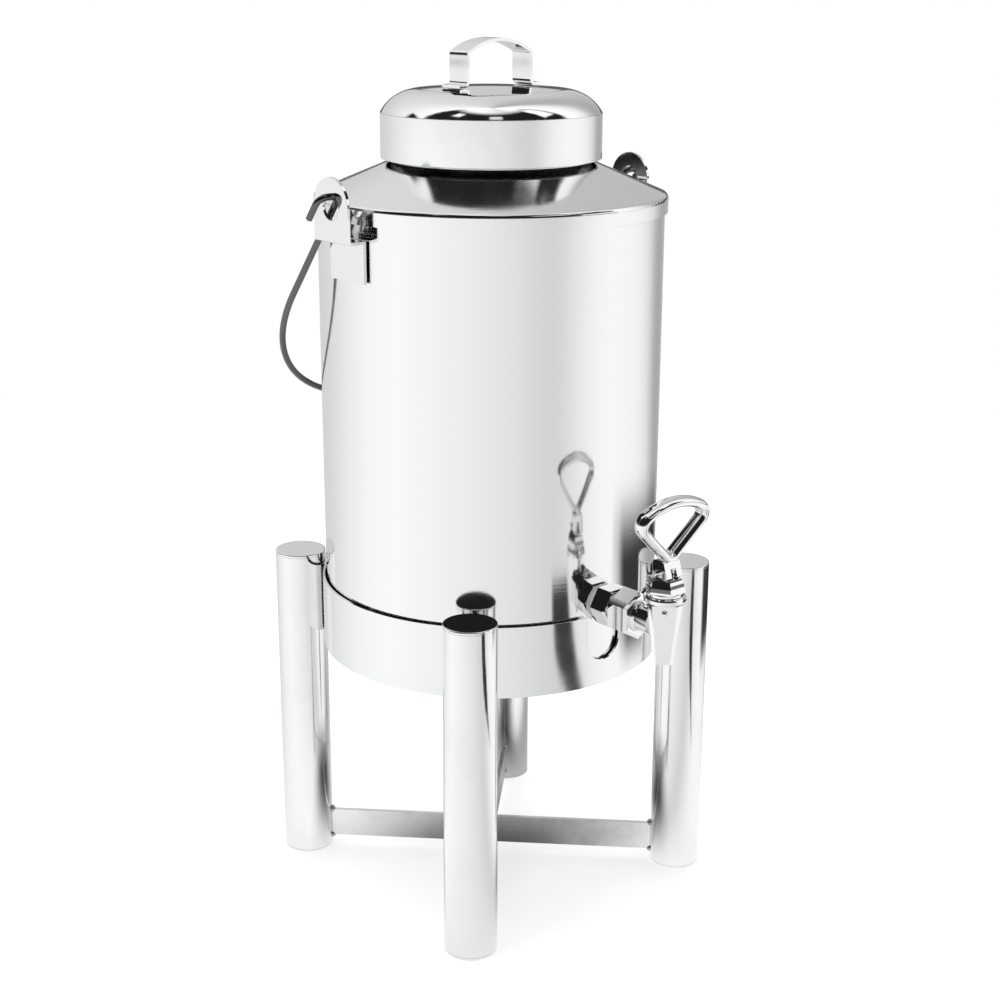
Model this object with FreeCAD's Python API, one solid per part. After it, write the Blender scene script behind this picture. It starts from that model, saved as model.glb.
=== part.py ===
"""Coffee urn on a four-legged stand, with a loop-handled tap, a lift-off lid and a wire bail.

Millimetres. Z is up, the origin is on the urn's axis at the floor. The tap faces -Y, the ears
of the bail are on the X axis and the legs stand on the diagonals.
"""

import FreeCAD
import Part
import math
import os

V = FreeCAD.Vector
Z_AXIS = V(0, 0, 1)
NEAR = 0.01         # lengths and places closer than this count as equal

# Clearances
SEAT = 0.1          # gap of a welded or screwed seat
REST = 0.3          # gap between pieces that rest on each other
RUN = 0.1           # radial running fit of the valve stem
RING_GAP = 1.2      # radial gap between tank and ring
COLLAR_GAP = 0.9    # radial gap between the lid's collar and the neck
BAIL_CLEAR = 2.45   # gap between the bail's legs and the ears
PIN_PLAY = 0.05     # radial

# Stand
LEG_R = 17.6
LEG_WALL = 1.5
LEG_TOP = 231.0
CAP_T = 2.0
CAP_EDGE = 0.8
RING_T = 1.6
RING_Z0 = 172.0
RING_TOP = 220.8
LEDGE_T = 2.0
LEDGE_W = 14.2
LEDGE_UP = 0.8      # ledge underside above the ring's lower edge
NOTCH_W = 29.0
NOTCH_DROP = 33.3   # lowest point of the notch below the shank's axis
BAR_T = 3.0
BAR_H = 20.5
BAR_Z0 = 7.5
BEAD_R = 2.6
LEG_ANGLES = (-135.0, -45.0, 45.0, 135.0)

# Tank
TANK_R = 115.0
SHEET = 1.2
TANK_TOP = 478.0
PAN_DISH = 2.2
PAN_UP = 3.2        # pan above the foot edge of the tank
PAN_FLANGE = 8.0
PAN_BEND = 3.6
HEM_T = 2.0
HEM_H = 8.6
HEM_LAP = 4.6       # hem's lower edge below the top of the tank
SHOULDER_SLOPE = 22.6
SHOULDER_EDGE = 3.0
NECK_R = 66.0
NECK_H = 27.7
NECK_FOOT = 4.0     # neck below the edge of the hole in the shoulder
NECK_BEAD = 1.6

# Ears and bail
STRAP_T = 2.0
EAR_W = 36.0
EAR_STAND = 13.6    # outer face of the eye from the tank's wall
EAR_HOLE_R = 8.5
EAR_HOLE_UP = 20.5  # centre of the hole above the web
WEB_DROP = 14.0     # web below the top of the tank
EAR_PLATE_H = 27.0
EAR_BEND = 1.2
WIRE_R = 2.15
BAIL_LEG = 88.0
HOOK_R = 6.0
HOOK_OUT = 8.4      # hook's centre line beyond the ear
HOOK_TIP = 18.0

# Lid
LID_OVER = 6.8      # skirt's outer face beyond the neck's
LID_UP = 7.0        # top of the skirt above the mouth of the neck
SKIRT_H = 29.0
HIP_IN = 8.6        # points of the dome, in from the skirt and up from its top
HIP_UP = 9.6
BROW_IN = 25.8
BROW_UP = 14.9
DOME_UP = 17.2
LID_PAN_T = 1.2
COLLAR_H = 13.0
GRIP_W = 18.0
GRIP_T = 2.0
GRIP_HALF = 27.5
GRIP_FOOT = 6.2
GRIP_SIDE = 22.0
GRIP_RISE = 7.6
GRIP_BEND = 2.8
GRIP_FLANK = 26.0   # slope of the arch beside its shoulders

# Tap
TAP_Z = 222.0       # axis of the shank
TAP_REACH = 57.0    # axis of the valve from the tank's wall
SPOUT_DROP = 18.0   # outlet below the shank's axis
SPOUT_A = 5.9       # distance from axis to flat at the outlet
SPOUT_CORNER = 7.4  # distance from axis to the cut-off corners at the outlet
BODY_A = 11.3       # the same two under the flange
BODY_CORNER = 13.1
SPOUT_BORE = 3.6
FLANGE_R = 13.5
FLANGE_UP = 23.3    # flange above the shank's axis
FLANGE_T = 4.5
FLANGE_EDGE = 1.4
CHAMBER_R = 5.4
SEAT_DROP = 7.5     # valve seat below the shank's axis
SHANK_R = 8.0
SHANK_BORE = 4.2
SHANK_IN = 16.0     # shank inside the tank's wall
BARREL_R = 9.2
BARREL_IN = 20.0    # barrel from the axis of the valve
BARREL_L = 19.0
BARREL_EDGE = 1.2
NECKED_R = 7.2
HEX = 6
GASKET_R = 10.4
GASKET_T = 2.2
NUT_AF = 22.0
NUT_T = 12.6
NUT_EDGE = 1.5
LOCK_AF = 24.0
LOCK_T = 5.0
BONNET_A = 11.2
BONNET_H = 11.3
BONNET_FOOT_R = 11.9
BONNET_FOOT_H = 2.4
BONNET_SIDE_H = 9.3
BONNET_TOP_R = 11.0
PLUG_R = 7.2
PLUG_H = 6.0
STEM_R = 2.6
TONGUE_T = 4.0
CUP_R = 4.6
CUP_H = 7.5
CUP_FLOOR = 2.0
CUP_EDGE = 0.6
SPRING_R = 3.9
SPRING_WIRE = 0.45  # radius
SPRING_TURNS = 5
LIFT_RATE = 4.9     # stem lift per radian of the lever
LEVER_SWING = 35.0
CAM_UNDER = 3.7     # cam flat below the pin
PIN_R = 1.5
PIN_HALF = 10.0
PIN_EDGE = 0.7
YOKE_W = 14.0
YOKE_BACK = 4.9
YOKE_TOP = 7.2
YOKE_CROWN = 1.6
TOE_SPARE = 1.08    # how far the cam is carried past the full swing
LOOP_T = 6.8        # oval bar of the loop, across and along the pull
LOOP_DEEP = 10.5
LOOP_FOOT = 7.5     # corners of the loop's centre line, up from the pin
LOOP_SHOULDER = 36.8
LOOP_CROWN = 46.5   # top of the centre line
LOOP_HALF = 31.0
LOOP_FOOT_BEND = 6.0
LOOP_SIDE_BEND = 6.4
LOOP_FLANK = 27.0   # slope of the crown beside its shoulders
LOOP_LEAN = 7.0
SCREW_R = 2.1
SCREW_UP = 18.3     # screw above the shank's axis

# Heights and places that follow from the sizes above
RING_IN = TANK_R + RING_GAP
RING_OUT = RING_IN + RING_T
LEG_AXIS = RING_OUT + LEG_R + SEAT
LEDGE_TOP = RING_Z0 + LEDGE_UP + LEDGE_T
TANK_Z0 = LEDGE_TOP + REST
HEM_R = TANK_R + SEAT + HEM_T
HEM_Z0 = TANK_TOP - HEM_LAP
HEM_TOP = HEM_Z0 + HEM_H
SLOPE = math.radians(SHOULDER_SLOPE)
SLOPE_R = HEM_R - SHOULDER_EDGE * (1 - math.sin(SLOPE))     # lower end of the sloping face
SLOPE_Z = HEM_TOP + SHOULDER_EDGE * math.cos(SLOPE)
NECK_Z0 = SLOPE_Z + (SLOPE_R - NECK_R) * math.tan(SLOPE) - NECK_FOOT
NECK_TOP = NECK_Z0 + NECK_H
LID_R = NECK_R + LID_OVER
LID_EDGE = NECK_TOP + LID_UP
LID_Z0 = LID_EDGE - SKIRT_H
DOME_HIP = (LID_R - HIP_IN, LID_EDGE + HIP_UP)
DOME_BROW = (LID_R - BROW_IN, LID_EDGE + BROW_UP)
DOME_TOP = LID_EDGE + DOME_UP
LID_PAN_Z = NECK_TOP + REST
WEB_TOP = TANK_TOP - WEB_DROP
EAR_HOLE_Z = WEB_TOP + EAR_HOLE_UP
EAR_OUT = TANK_R + EAR_STAND
BAIL_R = EAR_OUT - STRAP_T - BAIL_CLEAR - WIRE_R
BAIL_Z = EAR_HOLE_Z + EAR_HOLE_R - REST - WIRE_R
HOOK_REACH = EAR_OUT + HOOK_OUT
TAP_Y = -TANK_R - TAP_REACH
BARREL_Y = TAP_Y + BARREL_IN
SHANK_END = -TANK_R + SHANK_IN
SPOUT_Z0 = TAP_Z - SPOUT_DROP
SEAT_Z = TAP_Z - SEAT_DROP
FLANGE_Z0 = TAP_Z + FLANGE_UP
FLANGE_TOP = FLANGE_Z0 + FLANGE_T
BONNET_TOP = FLANGE_TOP + SEAT + BONNET_H
PIN_Z = BONNET_TOP + REST + CAM_UNDER
LIFT = LIFT_RATE * math.radians(LEVER_SWING)
STOP_FALL = BAIL_Z - WEB_TOP        # hinge of the bail above the edge of the web that stops it
BAIL_TILT = math.atan2(EAR_W / 2, STOP_FALL) + math.asin((WIRE_R + REST) / math.hypot(EAR_W / 2, STOP_FALL))
NUT_Y = -TANK_R - GASKET_T
LOCK_Y = -TANK_R + SHEET + GASKET_T


def wire(plane, start, *steps):
    """Wire in plane "xz" or "yz": a step is a point, or a pair of mid and end points of an arc."""
    def place(p):
        return V(p[0], 0, p[1]) if plane == "xz" else V(0, p[0], p[1])
    edges = []
    here = start
    for step in steps:
        if isinstance(step[0], tuple):
            mid, end = step
            edges.append(Part.Arc(place(here), place(mid), place(end)).toShape())
        else:
            end = step
            edges.append(Part.LineSegment(place(here), place(end)).toShape())
        here = end
    return Part.Wire(edges)


def revolved(start, *steps):
    """Solid of revolution about Z of a closed outline of radius and height."""
    return Part.Face(wire("xz", start, *steps, start)).revolve(V(), Z_AXIS, 360)


def cap_middle(r, top, drop):
    """Point halfway along a spherical cap that falls by drop from the axis out to radius r."""
    ball = (r * r + drop * drop) / (2 * drop)
    half = math.asin(r / ball) / 2
    return (ball * math.sin(half), top - ball + ball * math.cos(half))


def tube(outer, inner, z0, z1):
    body = Part.makeCylinder(outer, z1 - z0, V(0, 0, z0))
    return body.cut(Part.makeCylinder(inner, z1 - z0, V(0, 0, z0)))


def rod(r, y0, y1, x=0.0, z=TAP_Z):
    """Cylinder along Y from y0 to the lower value y1."""
    return Part.makeCylinder(r, y0 - y1, V(x, y0, z), V(0, -1, 0))


def turned(shape, angle):
    out = shape.copy()
    out.rotate(V(), Z_AXIS, angle)
    return out


def rims(shape, r):
    """Edges of a turned shape that are full circles of radius r."""
    full = 2 * math.pi * r
    return [e for e in shape.Edges if abs(e.Length - full) < NEAR]


def hexagon(corner):
    """Closed hexagon about the origin, with two of its corners on the X axis."""
    points = []
    for k in range(HEX + 1):
        a = 2 * math.pi * k / HEX
        points.append(V(corner * math.cos(a), corner * math.sin(a), 0))
    return Part.makePolygon(points)


def cut_square(flat, corner, z):
    """Closed square about the tap's axis, set cornerwise, with its corners cut off."""
    half = flat * math.sqrt(2) - corner
    points = []
    for x, y in ((1, 0), (0, 1), (-1, 0), (0, -1), (1, 0)):
        points.append(V(corner * x + half * y, corner * y - half * x, 0))
        points.append(V(corner * x - half * y, corner * y + half * x, 0))
    outline = Part.makePolygon(points[:-1])
    outline.translate(V(0, TAP_Y, z))
    return outline


def rounded(points, radii, closed=False):
    """Edges through the points, with the corner at each point rounded by a tangent arc."""
    count = len(points)
    joints = []
    for k, (p, r) in enumerate(zip(points, radii)):
        if not closed and k in (0, count - 1):
            joints.append((p, None, p))
            continue
        a = (points[k - 1] - p).normalize()
        b = (points[(k + 1) % count] - p).normalize()
        half = a.getAngle(b) / 2
        reach = r / math.tan(half)
        bisector = (a + b).normalize()
        middle = p + bisector * (r / math.sin(half) - r)
        joints.append((p + a * reach, middle, p + b * reach))
    edges = []
    for k, (start, middle, end) in enumerate(joints):
        if middle is not None:
            edges.append(Part.Arc(start, middle, end).toShape())
        if closed or k < count - 1:
            edges.append(Part.LineSegment(end, joints[(k + 1) % count][0]).toShape())
    return edges


def swept(edges, r):
    """Round bar along tangent edges, as one solid."""
    first = edges[0]
    start = first.valueAt(first.FirstParameter)
    along = first.tangentAt(first.FirstParameter)
    ring = Part.Wire(Part.makeCircle(r, start, along))
    return Part.Wire(edges).makePipeShell([ring], True, False)


def save(name, shape):
    shape.exportStep("parts/" + name + ".step")


# Stand

def leg_tube():
    top = LEG_TOP - CAP_T - SEAT
    bottom = CAP_T + SEAT
    body = tube(LEG_R, LEG_R - LEG_WALL, bottom, top)
    body.translate(V(LEG_AXIS, 0, 0))
    return body


def leg_cap(z, edge_up):
    """Flat cap with a rounded edge that closes one end of a leg."""
    cap = Part.makeCylinder(LEG_R, CAP_T, V(LEG_AXIS, 0, z))
    level = z + CAP_T if edge_up else z
    return cap.makeFillet(CAP_EDGE, [e for e in rims(cap, LEG_R) if abs(e.CenterOfMass.z - level) < NEAR])


def notch():
    """U-shaped gap in the ring's front that lets the tap's shank drop in from above."""
    half = NOTCH_W / 2
    middle = TAP_Z - NOTCH_DROP + half
    low = Part.makeCylinder(half, RING_OUT, V(0, 0, middle), V(0, -1, 0))
    up = Part.makeBox(NOTCH_W, RING_OUT, RING_TOP, V(-half, -RING_OUT, middle))
    return low.fuse(up)


def stand_ring():
    return tube(RING_OUT, RING_IN, RING_Z0, RING_TOP).cut(notch())


def support_ledge():
    return tube(RING_IN - SEAT, RING_IN - LEDGE_W, RING_Z0 + LEDGE_UP, LEDGE_TOP)


def cross_bar(slot_up):
    """Flat bar between two opposite legs, halved into its mate at the middle."""
    half = LEG_AXIS - LEG_R - SEAT
    bar = Part.makeBox(2 * half, BAR_T, BAR_H, V(-half, -BAR_T / 2, BAR_Z0))
    for side in (1, -1):
        bar = bar.cut(Part.makeCylinder(LEG_R + SEAT, LEG_TOP, V(side * LEG_AXIS, 0, 0)))
    width = BAR_T + 2 * SEAT
    depth = BAR_H / 2 + SEAT
    level = BAR_Z0 + BAR_H - depth if slot_up else BAR_Z0
    return bar.cut(Part.makeBox(width, BAR_T * 2, depth, V(-width / 2, -BAR_T, level)))


def brace_beads():
    """Weld beads above and below each end of both bars."""
    beads = []
    for angle in LEG_ANGLES:
        leg = Part.makeCylinder(LEG_R, LEG_TOP, V(LEG_AXIS, 0, 0))
        bar = Part.makeBox(LEG_AXIS, BAR_T, BAR_H, V(0, -BAR_T / 2, BAR_Z0))
        for z in (BAR_Z0, BAR_Z0 + BAR_H):
            bead = Part.makeSphere(BEAD_R, V(LEG_AXIS - LEG_R, 0, z))
            beads.append(turned(bead.cut(leg).cut(bar), angle))
    return Part.makeCompound(beads)


# Tank

def tank_shell():
    shell = tube(TANK_R, TANK_R - SHEET, TANK_Z0, TANK_TOP)
    return shell.cut(rod(SHANK_R + SEAT, 0, -TANK_R - SHEET))


def tank_bottom():
    """Shallow dished pan with an upturned flange, welded inside the tank."""
    r = TANK_R - SHEET - SEAT
    z = TANK_Z0 + PAN_UP
    bend = PAN_BEND
    inner = bend - SHEET
    k = math.sqrt(0.5)
    outer_mid = (r - bend + bend * k, z + bend - bend * k)
    inner_mid = (r - bend + inner * k, z + bend - inner * k)
    top = z + PAN_DISH
    return revolved(
        (0, top),
        (cap_middle(r - bend, top, PAN_DISH), (r - bend, z)),
        (outer_mid, (r, z + bend)),
        (r, z + PAN_FLANGE),
        (r - SHEET, z + PAN_FLANGE),
        (r - SHEET, z + bend),
        (inner_mid, (r - bend, z + SHEET)),
        (cap_middle(r - bend, top + SHEET, PAN_DISH), (0, top + SHEET)),
    )


def shoulder():
    """Sloping shoulder with a rounded edge and a hem that grips the top of the tank."""
    edge = SHOULDER_EDGE
    inner = edge - SHEET
    middle = HEM_R - edge
    half = (math.pi / 2 - SLOPE) / 2
    hole = NECK_R + SEAT
    top = SLOPE_Z + (SLOPE_R - hole) * math.tan(SLOPE)
    drop = SHEET / math.cos(SLOPE)
    in_end = (middle + inner * math.sin(SLOPE), HEM_TOP + inner * math.cos(SLOPE))
    mid = (middle + edge * math.cos(half), HEM_TOP + edge * math.sin(half))
    in_mid = (middle + inner * math.cos(half), HEM_TOP + inner * math.sin(half))
    step = TANK_TOP + SEAT
    return revolved(
        (HEM_R, HEM_Z0),
        (HEM_R, HEM_TOP),
        (mid, (SLOPE_R, SLOPE_Z)),
        (hole, top),
        (hole, top - drop),
        in_end,
        (in_mid, (HEM_R - SHEET, HEM_TOP)),
        (HEM_R - SHEET, step),
        (TANK_R + SEAT, step),
        (TANK_R + SEAT, HEM_Z0),
    )


def neck_collar():
    """Upright filler neck with a rolled bead at its mouth."""
    bead = NECK_TOP - NECK_BEAD
    inner = NECK_R - SHEET
    return revolved(
        (inner, NECK_Z0),
        (NECK_R, NECK_Z0),
        (NECK_R, bead - NECK_BEAD),
        ((NECK_R + NECK_BEAD, bead), (NECK_R, NECK_TOP)),
        (inner, NECK_TOP),
    )


def ear(side):
    """Strap ear: a plate on the tank, a web that turns outwards and an upright eye."""
    half = EAR_W / 2
    x0 = TANK_R + SEAT
    x1 = EAR_OUT
    t = STRAP_T
    under = WEB_TOP - t
    top = EAR_HOLE_Z
    plate = Part.makeBox(t, EAR_W, EAR_PLATE_H, V(x0, -half, WEB_TOP - EAR_PLATE_H))
    web = Part.makeBox(x1 - x0, EAR_W, t, V(x0, -half, under))
    eye = Part.makeBox(t, EAR_W, top - under, V(x1 - t, -half, under))
    disc = Part.makeCylinder(half, t, V(x1 - t, 0, top), V(1, 0, 0))
    strap = plate.fuse([web, eye, disc]).removeSplitter()
    bends = []
    for e in strap.Edges:
        c = e.CenterOfMass
        along_y = abs(e.Length - EAR_W) < NEAR and e.Curve.TypeId == "Part::GeomLine"
        top_inside = abs(c.x - x0) < NEAR and abs(c.z - WEB_TOP) < NEAR
        low_outside = abs(c.x - x1) < NEAR and abs(c.z - under) < NEAR
        if along_y and (top_inside or low_outside):
            bends.append(e)
    strap = strap.makeFillet(EAR_BEND, bends)
    strap = strap.cut(Part.makeCylinder(EAR_HOLE_R, t, V(x1 - t, 0, top), V(1, 0, 0)))
    return strap if side > 0 else turned(strap, 180)


def bail_route():
    """Centre line of the bail as it lies at rest, tilted back on the ears."""
    def at(u, v):
        return V(u, v * math.sin(BAIL_TILT), BAIL_Z - v * math.cos(BAIL_TILT))
    k = math.sqrt(0.5)
    edges = []

    def hook(side):
        """Edges from the tip of one hook to the top of its leg."""
        out = side * HOOK_REACH
        leg = side * BAIL_R
        r = HOOK_R
        turn = side * r
        return [
            Part.LineSegment(at(out, HOOK_TIP), at(out, r)).toShape(),
            Part.Arc(at(out, r), at(out - turn * (1 - k), r * (1 - k)), at(out - turn, 0)).toShape(),
            Part.LineSegment(at(out - turn, 0), at(leg + turn, 0)).toShape(),
            Part.Arc(at(leg + turn, 0), at(leg + turn * (1 - k), r * (1 - k)), at(leg, r)).toShape(),
            Part.LineSegment(at(leg, r), at(leg, BAIL_LEG)).toShape(),
        ]
    edges.extend(hook(-1))
    low = at(0, BAIL_LEG + BAIL_R)
    edges.append(Part.Arc(at(-BAIL_R, BAIL_LEG), at(-BAIL_R * k, BAIL_LEG + BAIL_R * k), low).toShape())
    edges.append(Part.Arc(low, at(BAIL_R * k, BAIL_LEG + BAIL_R * k), at(BAIL_R, BAIL_LEG)).toShape())
    for edge in reversed(hook(1)):
        ends = [edge.valueAt(edge.LastParameter), edge.valueAt(edge.FirstParameter)]
        if edge.Curve.TypeId == "Part::GeomLine":
            edges.append(Part.LineSegment(*ends).toShape())
        else:
            middle = edge.valueAt((edge.FirstParameter + edge.LastParameter) / 2)
            edges.append(Part.Arc(ends[0], middle, ends[1]).toShape())
    return edges


# Lid

def dome_outline(inset):
    """Points of the dome's section, moved in along its normal by the inset."""
    k = math.sqrt(0.5)
    hip = (DOME_HIP[0] - inset * k, DOME_HIP[1] - inset * k)
    brow = (DOME_BROW[0], DOME_BROW[1] - inset)
    crown = cap_middle(DOME_BROW[0], DOME_TOP - inset, DOME_TOP - DOME_BROW[1])
    return (LID_R - inset, LID_EDGE + SEAT), hip, brow, crown, (0, DOME_TOP - inset)


def lid_dome():
    edge, hip, brow, crown, top = dome_outline(0.0)
    edge_in, hip_in, brow_in, crown_in, top_in = dome_outline(SHEET)
    return revolved(
        edge,
        (hip, brow),
        (crown, top),
        top_in,
        (crown_in, brow_in),
        (hip_in, edge_in),
    )


def lid_skirt():
    return tube(LID_R, LID_R - SHEET, LID_Z0, LID_EDGE)


def lid_pan():
    """Flat underside of the lid with a collar that drops into the neck."""
    top = LID_PAN_Z + LID_PAN_T
    collar = NECK_R - SHEET - COLLAR_GAP
    low = LID_PAN_Z - COLLAR_H
    return revolved(
        (0, LID_PAN_Z),
        (collar - SHEET, LID_PAN_Z),
        (collar - SHEET, low),
        (collar, low),
        (collar, LID_PAN_Z),
        (LID_R - SHEET - SEAT, LID_PAN_Z),
        (LID_R - SHEET - SEAT, top),
        (0, top),
    )


def dome_height(r):
    """Height of the dome's outer face at a radius inside its brow."""
    return DOME_TOP - (DOME_TOP - DOME_BROW[1]) * (r / DOME_BROW[0]) ** 2


def lid_handle():
    """Flat strap bent into an arch, with short feet turned out on the dome."""
    base = dome_height(GRIP_HALF) + SEAT
    foot = base + GRIP_T / 2
    mid = GRIP_HALF - GRIP_T / 2
    shoulder_z = base + GRIP_SIDE
    flank = math.radians(GRIP_FLANK)
    apex = mid * math.tan(flank)
    arch = (apex - GRIP_RISE) / (1 / math.cos(flank) - 1)
    points = [
        V(-GRIP_HALF - GRIP_FOOT, 0, foot),
        V(-mid, 0, foot),
        V(-mid, 0, shoulder_z),
        V(0, 0, shoulder_z + apex),
        V(mid, 0, shoulder_z),
        V(mid, 0, foot),
        V(GRIP_HALF + GRIP_FOOT, 0, foot),
    ]
    bend = GRIP_BEND
    path = Part.Wire(rounded(points, [0, bend, bend, arch, bend, bend, 0]))
    start = points[0]
    half = GRIP_W / 2
    t = GRIP_T / 2
    section = Part.makePolygon([
        start + V(0, -half, -t), start + V(0, half, -t), start + V(0, half, t),
        start + V(0, -half, t), start + V(0, -half, -t)])
    return path.makePipeShell([section], True, False)


# Tap

def tap_body():
    """Tapering body with its flange, chamber, outlet and threaded shank."""
    low = cut_square(SPOUT_A, SPOUT_CORNER, SPOUT_Z0)
    high = cut_square(BODY_A, BODY_CORNER, FLANGE_Z0)
    body = Part.makeLoft([low, high], True)
    flange = Part.makeCylinder(FLANGE_R, FLANGE_T, V(0, TAP_Y, FLANGE_Z0))
    flange = flange.makeFillet(FLANGE_EDGE, rims(flange, FLANGE_R))
    barrel = rod(BARREL_R, BARREL_Y + BARREL_L, BARREL_Y)
    barrel = barrel.makeChamfer(BARREL_EDGE, rims(barrel, BARREL_R))
    shank = rod(SHANK_R, SHANK_END, BARREL_Y + BARREL_L)
    throat = rod(NECKED_R, BARREL_Y, TAP_Y + SPOUT_A)
    body = body.fuse([flange, throat, barrel, shank])
    chamber_h = FLANGE_TOP - SEAT_Z
    body = body.cut(Part.makeCylinder(CHAMBER_R, chamber_h, V(0, TAP_Y, SEAT_Z)))
    body = body.cut(Part.makeCylinder(PLUG_R + SEAT, PLUG_H + SEAT, V(0, TAP_Y, FLANGE_TOP - PLUG_H - SEAT)))
    body = body.cut(Part.makeCylinder(SPOUT_BORE, FLANGE_TOP - SPOUT_Z0, V(0, TAP_Y, SPOUT_Z0)))
    return body.cut(rod(SHANK_BORE, SHANK_END, TAP_Y))


def hex_nut(af, y, t):
    corner = af / 2 / math.cos(math.pi / HEX)
    nut = Part.Face(hexagon(corner)).extrude(V(0, 0, t))
    blank = Part.makeCylinder(corner, t)
    nut = nut.common(blank.makeChamfer(NUT_EDGE, rims(blank, corner)))
    nut = nut.cut(Part.makeCylinder(SHANK_R + SEAT, t))
    nut.rotate(V(), V(1, 0, 0), 90)
    nut.translate(V(0, y, TAP_Z))
    return nut


def tap_gasket(inside):
    """Round washer shaped to the tank's wall."""
    bore = rod(SHANK_R + SEAT, 0, -2 * TANK_R)
    if inside:
        block = rod(GASKET_R, LOCK_Y, -TANK_R)
        return block.common(Part.makeCylinder(TANK_R - SHEET - SEAT, TANK_TOP)).cut(bore)
    block = rod(GASKET_R, -TANK_R + GASKET_T, NUT_Y)
    return block.cut(Part.makeCylinder(TANK_R + SEAT, TANK_TOP)).cut(bore)


def tap_bonnet():
    """Hexagonal cap on a round foot, rounded towards its top and bored for the stem."""
    corner = BONNET_A / math.cos(math.pi / HEX)
    block = Part.Face(hexagon(corner)).extrude(V(0, 0, BONNET_H))
    rise = BONNET_H - BONNET_SIDE_H
    step = corner - BONNET_TOP_R
    r = (step ** 2 + rise ** 2) / (2 * step)
    half = math.asin(rise / r) / 2
    middle = (corner - r + r * math.cos(half), BONNET_SIDE_H + r * math.sin(half))
    blank = revolved(
        (0, BONNET_FOOT_H),
        (corner, BONNET_FOOT_H),
        (corner, BONNET_SIDE_H),
        (middle, (BONNET_TOP_R, BONNET_H)),
        (0, BONNET_H),
    )
    foot = Part.makeCylinder(BONNET_FOOT_R, BONNET_FOOT_H)
    plug = Part.makeCylinder(PLUG_R, PLUG_H, V(0, 0, -PLUG_H))
    bonnet = block.common(blank).fuse([foot, plug])
    bonnet = bonnet.cut(Part.makeCylinder(STEM_R + RUN, PLUG_H + BONNET_H, V(0, 0, -PLUG_H)))
    bonnet.translate(V(0, TAP_Y, FLANGE_TOP + SEAT))
    return bonnet


def tap_stem():
    """Round valve stem whose top is flattened to a tongue, rounded about the pin."""
    foot = SEAT_Z + REST + CUP_FLOOR
    flat_z = PIN_Z - CAM_UNDER - LIFT - REST
    stem = Part.makeCylinder(STEM_R, PIN_Z - foot, V(0, TAP_Y, foot))
    eye_end = Part.makeCylinder(STEM_R, 2 * STEM_R, V(-STEM_R, TAP_Y, PIN_Z), V(1, 0, 0))
    stem = stem.fuse(eye_end)
    side = STEM_R * 4
    for x in (TONGUE_T / 2, -TONGUE_T / 2 - side):
        stem = stem.cut(Part.makeBox(side, side, side * 2, V(x, TAP_Y - side / 2, flat_z)))
    eye = Part.makeCylinder(PIN_R + PIN_PLAY, 4 * STEM_R, V(-2 * STEM_R, TAP_Y, PIN_Z), V(1, 0, 0))
    return stem.cut(eye)


def tap_cup():
    """Soft cup on the foot of the stem that closes the outlet."""
    z0 = SEAT_Z + REST
    cup = Part.makeCylinder(CUP_R, CUP_H, V(0, TAP_Y, z0))
    cup = cup.makeFillet(CUP_EDGE, rims(cup, CUP_R))
    return cup.cut(Part.makeCylinder(STEM_R + SEAT, CUP_H, V(0, TAP_Y, z0 + CUP_FLOOR)))


def tap_spring():
    """Coil spring round the stem, from the cup up to the bonnet's plug."""
    z0 = SEAT_Z + REST + CUP_H + SPRING_WIRE + SEAT
    z1 = FLANGE_TOP - PLUG_H - SPRING_WIRE - 2 * SEAT
    height = z1 - z0
    helix = Part.makeHelix(height / SPRING_TURNS, height, SPRING_R)
    start = helix.Edges[0].valueAt(helix.Edges[0].FirstParameter)
    along = helix.Edges[0].tangentAt(helix.Edges[0].FirstParameter)
    ring = Part.Wire(Part.makeCircle(SPRING_WIRE, start, along))
    coil = Part.Wire(helix.Edges).makePipeShell([ring], True, True)
    coil.translate(V(0, TAP_Y, z0))
    return coil


def cam_point(a):
    """Point of the cam, from the pin, that lies on the bonnet when the lever has swung by a."""
    lift = CAM_UNDER + LIFT_RATE * a
    y = -lift * math.sin(a) - LIFT_RATE * math.cos(a)
    z = -lift * math.cos(a) + LIFT_RATE * math.sin(a)
    return (TAP_Y + y, PIN_Z + z)


def yoke():
    """Forked foot of the lever: its toe is an involute, so the stem rises evenly with the swing."""
    swing = math.radians(LEVER_SWING)
    tip = cam_point(swing * TOE_SPARE)
    back = TAP_Y + YOKE_BACK
    top = PIN_Z + YOKE_TOP
    crown = (TAP_Y, top + YOKE_CROWN)
    outline = wire(
        "yz",
        (back, PIN_Z - CAM_UNDER),
        cam_point(0.0),
        (cam_point(swing * TOE_SPARE / 2), tip),
        (TAP_Y - YOKE_BACK, top),
        (crown, (back, top)),
        (back, PIN_Z - CAM_UNDER),
    )
    block = Part.Face(outline).extrude(V(YOKE_W, 0, 0))
    block.translate(V(-YOKE_W / 2, 0, 0))
    return block


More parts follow.
